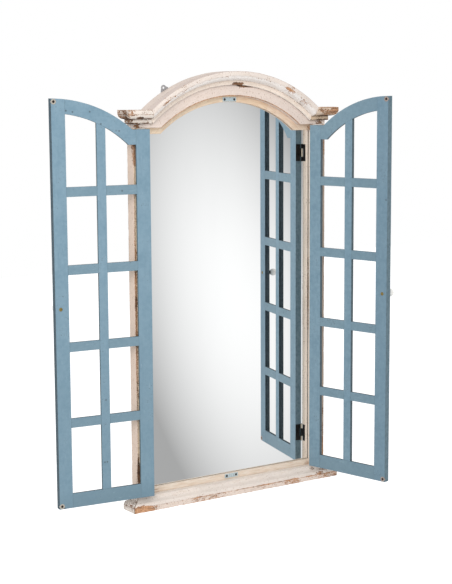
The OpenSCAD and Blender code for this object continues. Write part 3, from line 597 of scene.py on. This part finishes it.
def screw_tree():
    """A tree that sets a screw with a domed, cross-cut head at each of its Places."""
    tree = bpy.data.node_groups.new("cross_head_screws", "GeometryNodeTree")
    face = tree.interface
    face.new_socket("Places", in_out="INPUT", socket_type="NodeSocketGeometry")
    for name, size in (("Head radius", 0.002), ("Head height", 0.0006), ("Shank radius", 0.001),
                       ("Shank length", 0.01), ("Recess width", 0.0006)):
        face.new_socket(name, in_out="INPUT", socket_type="NodeSocketFloat").default_value = size
    face.new_socket("Metal", in_out="INPUT", socket_type="NodeSocketMaterial")
    face.new_socket("Screws", in_out="OUTPUT", socket_type="NodeSocketGeometry")
    given = tree.nodes.new("NodeGroupInput").outputs
    handed_over = tree.nodes.new("NodeGroupOutput").inputs[0]
    cross_reach, cross_depth, most_turn = 1.25, 1.1, 3.1

    def step(kind, feeds, out=0, **settings):
        return add_node(tree, kind, feeds, out, **settings)

    def times(first, second):
        return step("ShaderNodeMath", {0: first, 1: second}, operation="MULTIPLY")

    def triple(x, y, z):
        return step("ShaderNodeCombineXYZ", {0: x, 1: y, 2: z})

    radius, height = given["Head radius"], given["Head height"]
    ball = step("GeometryNodeMeshUVSphere", {"Segments": 24, "Rings": 12, "Radius": 1.0})
    head = step("GeometryNodeTransform", {"Geometry": ball, "Scale": triple(radius, radius, height)})
    width, long, deep = given["Recess width"], times(radius, cross_reach), times(height, cross_depth)
    recessed = tree.nodes.new("GeometryNodeMeshBoolean")
    recessed.operation = "DIFFERENCE"
    recessed.solver = "EXACT"
    tree.links.new(head, recessed.inputs["Mesh 1"])
    for size in (triple(width, long, deep), triple(long, width, deep)):
        slot = step("GeometryNodeMeshCube", {"Size": size})
        slot = step("GeometryNodeTransform", {"Geometry": slot, "Translation": triple(0.0, 0.0, height)})
        tree.links.new(slot, recessed.inputs["Mesh 2"])
    length = given["Shank length"]
    shank = step("GeometryNodeMeshCylinder", {"Vertices": 16, "Radius": given["Shank radius"],
                                              "Depth": length})
    sunk = triple(0.0, 0.0, times(length, -0.5))
    shank = step("GeometryNodeTransform", {"Geometry": shank, "Translation": sunk})
    screw = tree.nodes.new("GeometryNodeJoinGeometry")
    tree.links.new(recessed.outputs[0], screw.inputs[0])
    tree.links.new(shank, screw.inputs[0])
    axis = step("GeometryNodeInputNamedAttribute", {"Name": "axis"}, data_type="FLOAT_VECTOR")
    stand = step("FunctionNodeAlignRotationToVector", {"Vector": axis}, axis="Z")
    spin = step("FunctionNodeRandomValue", {2: 0.0, 3: most_turn, "Seed": 7}, out=1, data_type="FLOAT")
    twist = step("FunctionNodeAxisAngleToRotation", {"Angle": spin})
    stand = step("FunctionNodeRotateRotation", {0: stand, 1: twist}, rotation_space="LOCAL")
    points = step("GeometryNodeMeshToPoints", {"Mesh": given["Places"]})
    driven = step("GeometryNodeInstanceOnPoints", {"Points": points, "Instance": screw.outputs[0],
                                                   "Rotation": stand})
    real = step("GeometryNodeRealizeInstances", {"Geometry": driven})
    finished = step("GeometryNodeSetMaterial", {"Geometry": real, "Material": given["Metal"]})
    tree.links.new(finished, handed_over)
    return tree


screwing = screw_tree()


def screws(name, body, slot, finish, replaced, places, head, rise, shank, length, recess):
    """Screws at (place, axis) pairs, the head's foot at the place and its crown towards the axis."""
    mesh = bpy.data.meshes.new(name + "_places")
    mesh.from_pydata([place for place, axis in places], [], [])
    axes = mesh.attributes.new("axis", "FLOAT_VECTOR", "POINT")
    for item, (place, axis) in zip(axes.data, places):
        item.vector = axis
    holes = bpy.data.objects.new(name + "_places", mesh)
    bpy.context.scene.collection.objects.link(holes)
    work = holes.modifiers.new("screws", "NODES")
    work.node_group = screwing
    sizes = {"Head radius": head, "Head height": rise, "Shank radius": shank, "Shank length": length,
             "Recess width": recess, "Metal": finish}
    for socket in screwing.interface.items_tree:
        if socket.in_out == "INPUT" and socket.name in sizes:
            work[socket.identifier] = sizes[socket.name]
    ready = holes.evaluated_get(bpy.context.evaluated_depsgraph_get())
    finished = bpy.data.meshes.new_from_object(ready)
    bpy.data.objects.remove(holes)
    piece = bpy.data.objects.new(name, finished)
    bpy.context.scene.collection.objects.link(piece)
    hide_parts(replaced)
    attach(piece, body)


dress(zinc, "left_hanging_plate", "right_hanging_plate")
eye_x, eye_r = 0.172, 0.3645                         # each eye's distance aside, and from the arch's centre
plate_lean = math.asin(eye_x / eye_r)
back_y = -0.0002
hung = [
    ((out * reach * math.sin(plate_lean), back_y, arch_z + reach * math.cos(plate_lean)), (0, 1, 0))
    for out in (-1, 1)
    for reach in (0.3485, 0.3325)
]
dull_zinc = metal("dull_zinc_screw", (128, 128, 130), (92, 92, 96), (170, 170, 172), rough=0.42, gleam=0.85)
screws("hanging_screws", "frame", "zinc", dull_zinc, "hanging_plate_screws", hung,
       head=0.0034, rise=0.001, shank=0.0017, length=0.012, recess=0.0008)

# ---- strike plates ---------------------------------------------------------------
# Two strips of nickelled steel that the shutters' magnets pull against, one on the
# stop over the glass and one on the stop under it, each with two dark screws.

nickel = metal("nickel", (206, 220, 224), (184, 202, 208), (225, 232, 234), rough=0.3, gleam=0.6)
dress(nickel, "top_strike_plate", "bottom_strike_plate")
steel = metal("dark_steel", (36, 33, 32), (22, 21, 20), (60, 56, 52), rough=0.6, gleam=0.15)
foot_z = -0.933366
plate_levels = (arch_z + 0.2935, foot_z + 0.0045)
plate_screws = [((x, -0.01355, z), (0, -1, 0)) for z in plate_levels for x in (-0.0134, 0.0134)]
screws("catch_screws", "frame", "dark_steel", steel, "strike_plate_screws", plate_screws,
       head=0.0029, rise=0.0003, shank=0.0011, length=0.0038, recess=0.0006)

# ---- hinges ----------------------------------------------------------------------
# Black butt hinges let in flush, three knuckles each, with a riveted pin. The shutter's
# knuckles are painted pale and bright round the pin, a painted highlight.

black = metal("black_iron", (16, 15, 15), (8, 8, 9), (58, 52, 46), rough=0.45, gleam=0.25)
# each shutter's knuckles carry a painted highlight round the pin
highlit_iron = {
    side: metal("highlit_iron_" + side, (16, 15, 15), (8, 8, 9), (58, 52, 46), rough=0.45, gleam=0.25,
                rubbed=(out * 0.2340, -0.0287, 0.0030))
    for side, out in (("left", -1), ("right", 1))
}
dress(black, "left_upper_frame_leaf", "left_lower_frame_leaf", "right_upper_frame_leaf",
      "right_lower_frame_leaf", "upper_hinge_pins")
leaf_screw = {"head": 0.0021, "rise": 0.0003, "shank": 0.0012, "length": 0.0108, "recess": 0.0006}
leaf_levels = [foot_z + hinge + screw for hinge in (0.0725, 0.774) for screw in (-0.013, 0.013)]
driven = [((out * opening_x, -0.02235, z), (-out, 0, 0)) for out in (-1, 1) for z in leaf_levels]
screws("frame_hinge_screws", "frame", "black_iron", black, "frame_leaf_screws", driven, **leaf_screw)

# ---- shutters --------------------------------------------------------------------
# Each shutter is a flat ten-light frame painted in a chalky blue, darker where the brush went round
# the edges and into the lights. Light and shade are painted in too: the right shutter is a little darker
# all over and towards its free stile and top rail, and the narrow sides lighter or darker by their facing.

pin = Vector((0.2349, -0.03065, 0))
stands_open = {"left": 186.0, "right": 103.2}        # degrees
flip = {"left": Vector((-1, 1, 1)), "right": Vector((1, 1, 1))}


def shut_view(f, side):
    """Coordinates and facing as if this shutter were shut on the right."""
    angle = math.radians(stands_open[side])
    home = Matrix.Rotation(-angle, 3, "Z") @ pin
    f.spot = f.mapped(f.spot, flip[side], (0, 0, -angle), pin - home)
    f.facing = f.mapped(f.facing, flip[side], (0, 0, -angle))


def stand(side, point):
    """A place on the shut right-hand shutter, where it is on the open one."""
    out = Matrix.Rotation(math.radians(stands_open[side]), 3, "Z")
    return (out @ (Vector(point) - pin) + pin) * flip[side]


def stand_along(side, axis):
    """A direction on the shut right-hand shutter, as it points on the open one."""
    return stand(side, pin + Vector(axis)) - stand(side, pin)


# how dark each shutter's paint is made: the share of its tone that is left, a painted shade over the
# whole right shutter, and how far these places darken: painted shade towards the right shutter's free
# stile and along its top rail, and darker at the foot and over the left shutter's lower half
painted_shade_and_darkening = {
    "left": {"tone": 1.0, "free stile": 0.0, "arch": 0.0, "foot": 0.4, "lower half": 0.26},
    "right": {"tone": 0.95, "free stile": 0.35, "arch": 0.2, "foot": 0.3, "lower half": 0.0},
}
# the two tones of the free edge, and where the paint is knocked through on the open shutters
free_edge = {"left": ((62, 79, 89), (74, 92, 102)), "right": ((92, 114, 125), (106, 128, 139))}
knocks = {
    "left": [(-0.4349, -0.026, -0.048), (-0.4196, -0.0276, -0.0509), (-0.3796, -0.0318, -0.0508),
             (-0.354, -0.0345, -0.0778), (-0.311, -0.039, -0.0939), (-0.306, -0.0395, -0.226),
             (-0.3533, -0.0346, -0.695), (-0.3525, -0.0346, -0.838), (-0.3585, -0.0341, -0.838)],
    "right": [(0.2715, -0.2579, -0.2607)],
}


def blue_paint(name, side, along, seed):
    """The paint of one shutter's upright or level pieces, knocked through where knocks lists it."""
    f = Finish(name)
    shut_view(f, side)
    across, level = f.part_of(f.spot, 0), f.part_of(f.spot, 2)
    slow = {"x": (0.1, 1, 1), "z": (1, 1, 0.1)}[along]
    shift = (seed, seed * 0.6, seed * 1.4)
    brush = f.noise(230.0, 4.0, 0.6, 0.3, draw=slow, shift=shift)
    scratch = f.noise(420.0, 2.0, 0.5, draw=slow, tilt=(0, 0.1, 0), shift=shift)
    cloud = f.noise(24.0, 4.0, 0.6, shift=shift)
    mottle = f.noise(120.0, 3.0, 0.6, shift=shift)
    grit = f.noise(380.0, 3.0, 0.65, shift=shift)

    def mottled(first, second):
        return f.blend(f.span(mottle, 0.35, 0.65), tone(*first), tone(*second))

    # the broad face
    darkening = painted_shade_and_darkening[side]
    # a painted shade: the right shutter's whole face is painted a little darker
    light, lighter = [tone(*[c * darkening["tone"] for c in blue]) for blue in ((116, 147, 165), (128, 157, 174))]
    shaded = tone(100, 126, 140)
    paint = f.blend(f.span(cloud, 0.32, 0.7), light, lighter)
    paint = f.blend(f.span(mottle, 0.38, 0.62, 0.0, 0.35), paint, tone(136, 165, 181))
    # painted shade: the right shutter darkens towards its free stile
    paint = f.blend(f.span(across, 0.02, 0.16, darkening["free stile"], 0.0), paint, tone(94, 120, 138))
    # level pieces are darker below the arch; on the right shutter the top rail takes a painted shade
    if along == "x":
        paint = f.blend(f.span(level, -0.2, -0.15, 0.3, darkening["arch"]), paint, tone(112, 134, 142))
    paint = f.blend(f.span(level, -0.93, -0.88, darkening["foot"], 0.0), paint, shaded)
    paint = f.blend(f.span(level, -0.80, -0.25, darkening["lower half"], 0.0), paint, shaded)
    paint = f.blend(f.span(brush, 0.5, 0.75, 0.0, 0.4), paint, tone(106, 136, 154))
    paint = f.blend(f.span(scratch, 0.66, 0.72, 0.0, 0.45), paint, tone(158, 182, 194))
    marks = f.span(f.plus(grit, f.times(cloud, 0.6)), 0.99, 1.04)
    paint = f.blend(f.times(marks, 0.85), paint, tone(84, 100, 108))
    for place in knocks[side]:
        paint = f.blend(f.times(f.near(place, 0.0030), 0.65), paint, tone(58, 62, 62))

    # the narrow sides: dark in the lights, with painted light on those that face the free stile and painted
    # shade on the others, and with a tone of their own on the hinge edge and on the free edge
    free_x, hinge_x = 0.0018, 0.2332
    # painted light and shade: a side's tone follows the way it faces
    lit = f.span(f.part_of(f.facing, 0), -0.8, -0.5, 1.0, 0.0)
    narrow = f.blend(lit, mottled((34, 50, 58), (46, 63, 72)), mottled((70, 87, 95), (84, 101, 108)))
    narrow = f.blend(f.span(across, hinge_x, hinge_x + 0.0008), narrow,
                     mottled((98, 124, 137), (114, 140, 153)))
    narrow = f.blend(f.span(across, free_x, free_x + 0.0008, 1.0, 0.0), narrow, mottled(*free_edge[side]))
    broad = f.span(f.calc("ABSOLUTE", f.part_of(f.facing, 1)), 0.75, 0.97)
    paint = f.blend(broad, narrow, paint)
    chip = f.span(f.plus(f.times(f.arris(0.0025), 1.1), f.times(grit, 0.6)), 0.46, 0.56)
    f.feed("Base Color", f.blend(f.times(chip, 0.35), paint, tone(76, 94, 102)))
    f.feed("Roughness", f.minus(f.span(cloud, 0.3, 0.75, 0.75, 0.9), f.times(broad, 0.28)))
    height = f.plus(f.times(brush, 0.6), f.times(grit, 0.25))
    f.relief(f.minus(height, f.times(chip, 0.8)), 0.0004, 0.5)
    return f.material


for number, side in enumerate(("left", "right")):
    body = side + "_shutter"
    upright_blue = blue_paint("blue_z_" + side, side, "z", 1.0 + number)
    dress(upright_blue, side + "_hinge_stile")
    for member in ("meeting_stile", "mullion"):
        eased(side + "_" + member, body, upright_blue, 0.00025, 0.0001, number + 10)
    level_blue = blue_paint("blue_x_" + side, side, "x", 6.0 + number)
    for member in ("top_rail", "bottom_rail", "cross_bars"):
        eased(side + "_" + member, body, level_blue, 0.00025, 0.0001, number + 10)
    dress(black, side + "_lower_hinge_pin")
    dress(highlit_iron[side], side + "_upper_shutter_leaf", side + "_lower_shutter_leaf")
    outward = stand_along(side, (1, 0, 0))
    driven = [(stand(side, (0.2346, -0.02095, z)), outward) for z in leaf_levels]
    screws(side + "_hinge_screws", body, "black_iron", black, side + "_leaf_screws", driven, **leaf_screw)

# ---- magnets ---------------------------------------------------------------------
# Plated ring magnets let into the top and foot of each meeting stile, one screw each.
# The right-hand ones have dulled.

cups = {
    "left": metal("clean_magnet_cup", (190, 184, 172), (166, 160, 150), (150, 142, 130),
                  rough=0.34, gleam=0.2, scale=260.0),
    "right": metal("dull_magnet_cup", (170, 154, 146), (148, 132, 124), (142, 120, 106),
                   rough=0.4, gleam=0.2, scale=260.0),
}
rust = metal("rusty_screw", (32, 21, 16), (18, 12, 10), (62, 42, 30), rough=0.6, gleam=0.15, scale=400.0)
inner_y = -0.01435                                   # the shut shutter's face towards the glass
magnet_levels = (arch_z + 0.2931, foot_z + 0.0065)
for side in ("left", "right"):
    dress(cups[side], side + "_magnets")
    inward = stand_along(side, (0, 1, 0))
    held = [(stand(side, (0.0072, inner_y - 0.0006, z)), inward) for z in magnet_levels]
    screws(side + "_catch_screws", side + "_shutter", "dark_steel", rust, side + "_magnet_screws", held,
           head=0.0043, rise=0.0010, shank=0.0014, length=0.008, recess=0.0008)

# ---- knobs -----------------------------------------------------------------------
# A glazed ball on a black turned neck, held by a brass-plated screw through the stile.

glazing = Finish("glazed_ball")
shade = glazing.noise(60.0)
crackle = glazing.node("TexVoronoi", {"Vector": glazing.spot, "Scale": 420.0}, out="Distance",
                       feature="DISTANCE_TO_EDGE")
crackle = glazing.span(crackle, 0.0, 0.05, 1.0, 0.0)
glaze = glazing.blend(glazing.span(shade, 0.35, 0.7), tone(250, 249, 246), tone(243, 241, 236))
glaze = glazing.blend(glazing.times(crackle, 0.2), glaze, tone(206, 200, 190))
glazing.feed("Base Color", glaze)
glazing.feed("Roughness", glazing.span(shade, 0.3, 0.7, 0.14, 0.24))
glazing.relief(crackle, 0.00005, 0.3)
brass = metal("brassed_screw", (150, 130, 66), (88, 76, 44), (176, 156, 98),
              rough=0.45, gleam=0.4, scale=500.0)
knob_place = (0.0141, inner_y, foot_z + 0.452)
for side in ("left", "right"):
    eased(side + "_knob_ball", side + "_shutter", glazing.material, 0.0004)
    eased(side + "_knob_ferrule", side + "_shutter", black, 0.0003)
    through = [(stand(side, knob_place), stand_along(side, (0, 1, 0)))]
    screws(side + "_knob_screws", side + "_shutter", "dark_steel", brass, side + "_knob_screw", through,
           head=0.0042, rise=0.0011, shank=0.0015, length=0.028, recess=0.0011)

# ---- room ------------------------------------------------------------------------
# A white studio: pale floor well below the mirror, soft light from all round and one
# broad lamp in front. The camera sees the room as white, and the glass sees a white
# screen that darkens towards its corners.

floor_z = cad_box[0][2] - 0.3
corners = ((-6, -6), (6, -6), (6, 6), (-6, 6))
floor_mesh = bpy.data.meshes.new("floor")
floor_mesh.from_pydata([(x, y, floor_z) for x, y in corners], [], [(0, 1, 2, 3)])
floor = bpy.data.objects.new("floor", floor_mesh)
bpy.context.scene.collection.objects.link(floor)
floor.visible_glossy = False
floor_paint = Finish("floor_paint")
ground = floor_paint.blend(floor_paint.noise(2.0, 2.0), (0.78, 0.78, 0.78, 1), (0.8, 0.8, 0.8, 1))
seen = floor_paint.node("LightPath", {}, out="Is Camera Ray")
floor_paint.feed("Base Color", ground)
floor_paint.feed("Roughness", 0.9)
floor_paint.feed("Emission Strength", floor_paint.times(seen, 0.55))
floor_paint.feed("Emission Color", (1, 1, 1, 1))
floor_mesh.materials.append(floor_paint.material)

world = bpy.data.worlds.new("studio")
world.use_nodes = True
bpy.context.scene.world = world
sky = world.node_tree


def light_step(kind, feeds, out=0, **settings):
    return add_node(sky, "ShaderNode" + kind, feeds, out, **settings)


def light_sum(how, first, second):
    return light_step("Math", {0: first, 1: second}, operation=how)


# the screen, as the glass sees it: its middle, and the ways across it and down it
screen_middle = (0.55455, -0.81916, -0.14644)
screen_across = (0.83102, 0.55622, -0.00565)
screen_down = (-0.0827, 0.11349, -0.99009)
fall_across, fall_down, fall_aslant = 109.95, 23.09, 38.85       # how fast it darkens each way
brightest, darkest, edge_lift = 1.03, 0.4, 0.6
room_light = 0.79

ray = light_step("TexCoord", {}, out="Generated")
offset = light_step("VectorMath", {0: ray, 1: screen_middle}, operation="SUBTRACT")
sideways = light_step("VectorMath", {0: offset, 1: screen_across}, out="Value", operation="DOT_PRODUCT")
downward = light_step("VectorMath", {0: offset, 1: screen_down}, out="Value", operation="DOT_PRODUCT")
fall_sideways = light_sum("MULTIPLY", light_sum("MULTIPLY", sideways, sideways), fall_across)
fall_downward = light_sum("MULTIPLY", light_sum("MULTIPLY", downward, downward), fall_down)
fall_corner = light_sum("MULTIPLY", light_sum("MULTIPLY", sideways, downward), fall_aslant)
fall = light_sum("SUBTRACT", light_sum("ADD", fall_sideways, fall_downward), fall_corner)
screened = light_sum("MAXIMUM", light_sum("SUBTRACT", brightest, fall), darkest)
beyond = light_step("MapRange", {0: fall, 1: 0.9, 2: 3.0, 3: 0.0, 4: edge_lift},
                    interpolation_type="SMOOTHSTEP")
screened = light_sum("ADD", screened, beyond)
glossy = light_step("LightPath", {}, out="Is Glossy Ray")
direct = light_step("LightPath", {}, out="Is Camera Ray")
strength = light_step("Mix", {0: glossy, 2: room_light, 3: screened})
strength = light_step("Mix", {0: direct, 2: strength, 3: 1.0})
backdrop = sky.nodes["Background"]
backdrop.inputs["Color"].default_value = (1, 1, 1, 1)
sky.links.new(strength, backdrop.inputs["Strength"])

lamp_place, lamp_aim = Vector((-2.5, -2.5, 1.25)), Vector((0, 0, -0.45))
glow = bpy.data.lights.new("front_lamp", "AREA")
glow.size = 1.8
glow.energy = 62
lamp = bpy.data.objects.new("front_lamp", glow)
lamp.location = lamp_place
lamp.rotation_mode = "QUATERNION"
lamp.rotation_quaternion = (lamp_aim - lamp_place).to_track_quat("-Z", "Y")
lamp.visible_glossy = False
bpy.context.scene.collection.objects.link(lamp)

bpy.context.scene.view_settings.view_transform = "Standard"
